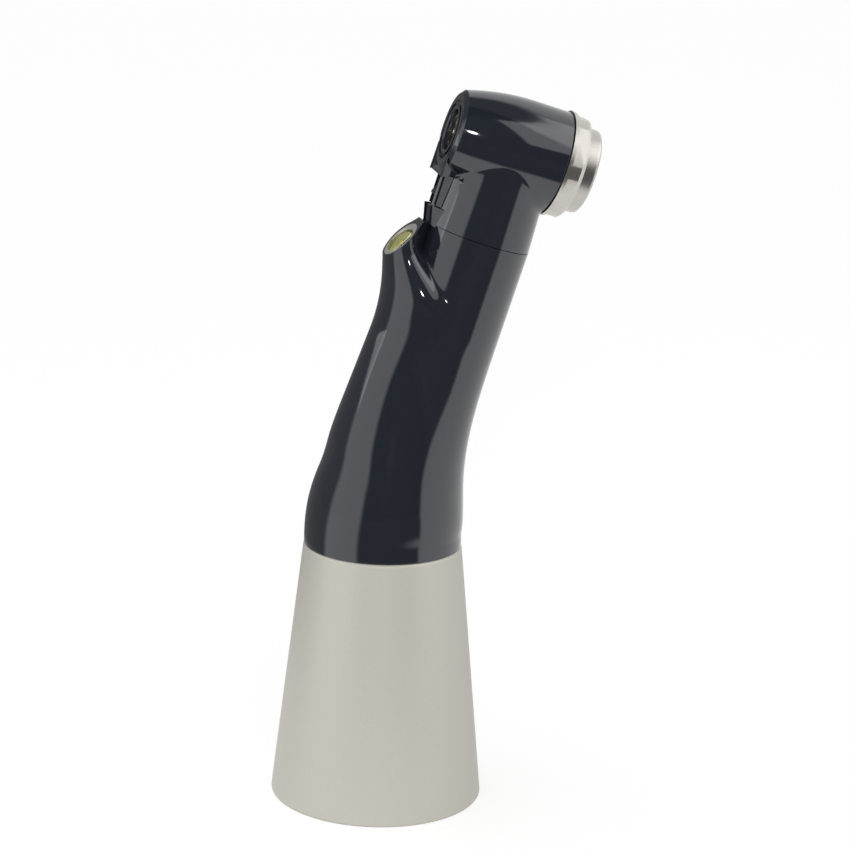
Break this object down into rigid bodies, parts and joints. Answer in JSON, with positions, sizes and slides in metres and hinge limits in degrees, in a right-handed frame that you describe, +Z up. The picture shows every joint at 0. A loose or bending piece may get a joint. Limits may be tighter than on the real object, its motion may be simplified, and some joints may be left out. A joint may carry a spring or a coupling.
{
  "type": "prophy angle",
  "caption": "Contra-angle dental prophy head on a steel base cone: bent black body with a light window, push-button chuck and a gear train that slows the drive.",
  "frame": {"origin": "centre of the bottom rim, where the motor socket opens", "axes": "+Z up along the base axis; the neck leans towards +X, where the button is; the chuck opens towards -X"},
  "size_m": [0.0287, 0.0198, 0.0666],
  "materials": {
    "cone_steel": "satin",
    "socket_steel": "turned",
    "spring_steel": "drawn wire",
    "pin_steel": "ground",
    "insulator": "moulded",
    "contact_brass": "turned",
    "body_black": "gloss",
    "cap_steel": "satin",
    "button_steel": "satin",
    "shaft_steel": "ground",
    "gear_bronze": "cut",
    "shield_black": "moulded",
    "bearing_steel": "ground",
    "ball_ceramic": "polished",
    "spacer_aluminium": "turned",
    "bezel_steel": "satin",
    "lens_clear": "polished",
    "chip_yellow": "phosphor",
    "board_white": "matt",
    "lead_red": "insulated"
  },
  "bodies": {
    "housing": {"base_sleeve": "cone_steel", "coupling_tube": "socket_steel", "latch_ring": "spring_steel", "locating_pin": "pin_steel", "contact_insulator": "insulator", "contact_ring": "contact_brass", "body_shell": "body_black", "head_housing": "body_black", "head_cap": "cap_steel", "button_ring": "cap_steel", "button_spring": "spring_steel", "front_shield": "shield_black", "head_front_outer": "bearing_steel", "head_rear_outer": "bearing_steel", "neck_front_outer": "bearing_steel", "neck_rear_outer": "bearing_steel", "neck_spacer": "spacer_aluminium", "rear_upper_outer": "bearing_steel", "rear_lower_outer": "bearing_steel", "rear_spacer": "spacer_aluminium", "retaining_nut": "socket_steel", "lens_bezel": "bezel_steel", "lens": "lens_clear", "light_chip": "chip_yellow", "light_board": "board_white", "light_leads": "lead_red", "spray_nozzle": "pin_steel", "water_tube": "pin_steel"},
    "drive_shaft": {"rear_shaft": "shaft_steel", "rear_pinion": "gear_bronze", "dog_pin": "pin_steel", "dog_spring": "spring_steel", "rear_upper_inner": "bearing_steel", "rear_lower_inner": "bearing_steel"},
    "dog": {"drive_dog": "shaft_steel"},
    "middle_shaft": {"neck_shaft": "shaft_steel", "neck_pinion": "gear_bronze", "neck_gear": "gear_bronze", "neck_front_inner": "bearing_steel", "neck_rear_inner": "bearing_steel"},
    "chuck": {"spindle": "shaft_steel", "head_gear": "gear_bronze", "collet": "shaft_steel", "head_front_inner": "bearing_steel", "head_rear_inner": "bearing_steel"},
    "release": {"release_pin": "pin_steel"},
    "button": {"push_button": "button_steel"},
    "head_front_balls_set": {"head_front_balls": "ball_ceramic"},
    "head_rear_balls_set": {"head_rear_balls": "ball_ceramic"},
    "neck_front_balls_set": {"neck_front_balls": "ball_ceramic"},
    "neck_rear_balls_set": {"neck_rear_balls": "ball_ceramic"},
    "rear_upper_balls_set": {"rear_upper_balls": "ball_ceramic"},
    "rear_lower_balls_set": {"rear_lower_balls": "ball_ceramic"}
  },
  "joints": [
    {"name": "drive_spin", "type": "hinge", "parent": "housing", "child": "drive_shaft", "pos_m": [0, 0, 0.027], "axis": [0, 0, 1], "continuous": true},
    {"name": "middle_spin", "type": "hinge", "parent": "housing", "child": "middle_shaft", "pos_m": [0, 0, 0.027], "axis": [0.2924, 0, 0.9563], "continuous": true},
    {"name": "chuck_spin", "type": "hinge", "parent": "housing", "child": "chuck", "pos_m": [0.01053, 0, 0.06143], "axis": [0.9563, 0, -0.2924], "continuous": true},
    {"name": "button_press", "type": "slide", "parent": "housing", "child": "button", "axis": [-0.9563, 0, 0.2924], "range_m": [0, 0.0008], "stiffness_N_per_m": 1500, "springref_m": -0.0005, "deforming": ["button_spring"]},
    {"name": "release_push", "type": "slide", "parent": "chuck", "child": "release", "axis": [-0.9563, 0, 0.2924], "range_m": [0, 0.00048]},
    {"name": "dog_slide", "type": "slide", "parent": "drive_shaft", "child": "dog", "axis": [0, 0, 1], "range_m": [0, 0.0008], "stiffness_N_per_m": 300, "springref_m": -0.001, "deforming": ["dog_spring"]},
    {"name": "head_front_roll", "type": "hinge", "parent": "housing", "child": "head_front_balls_set", "pos_m": [0.01053, 0, 0.06143], "axis": [0.9563, 0, -0.2924], "continuous": true},
    {"name": "head_rear_roll", "type": "hinge", "parent": "housing", "child": "head_rear_balls_set", "pos_m": [0.01053, 0, 0.06143], "axis": [0.9563, 0, -0.2924], "continuous": true},
    {"name": "neck_front_roll", "type": "hinge", "parent": "housing", "child": "neck_front_balls_set", "pos_m": [0, 0, 0.027], "axis": [0.2924, 0, 0.9563], "continuous": true},
    {"name": "neck_rear_roll", "type": "hinge", "parent": "housing", "child": "neck_rear_balls_set", "pos_m": [0, 0, 0.027], "axis": [0.2924, 0, 0.9563], "continuous": true},
    {"name": "rear_upper_roll", "type": "hinge", "parent": "housing", "child": "rear_upper_balls_set", "pos_m": [0, 0, 0.027], "axis": [0, 0, 1], "continuous": true},
    {"name": "rear_lower_roll", "type": "hinge", "parent": "housing", "child": "rear_lower_balls_set", "pos_m": [0, 0, 0.027], "axis": [0, 0, 1], "continuous": true}
  ],
  "couplings": [
    {"joint": "middle_spin", "follows": "drive_spin", "ratio": -0.5},
    {"joint": "chuck_spin", "follows": "drive_spin", "ratio": -0.25},
    {"joint": "release_push", "follows": "button_press", "ratio": 0.6},
    {"joint": "head_front_roll", "follows": "drive_spin", "ratio": -0.10567},
    {"joint": "head_rear_roll", "follows": "drive_spin", "ratio": -0.10567},
    {"joint": "neck_front_roll", "follows": "drive_spin", "ratio": -0.18351},
    {"joint": "neck_rear_roll", "follows": "drive_spin", "ratio": -0.18351},
    {"joint": "rear_upper_roll", "follows": "drive_spin", "ratio": 0.36701},
    {"joint": "rear_lower_roll", "follows": "drive_spin", "ratio": 0.36701}
  ]
}
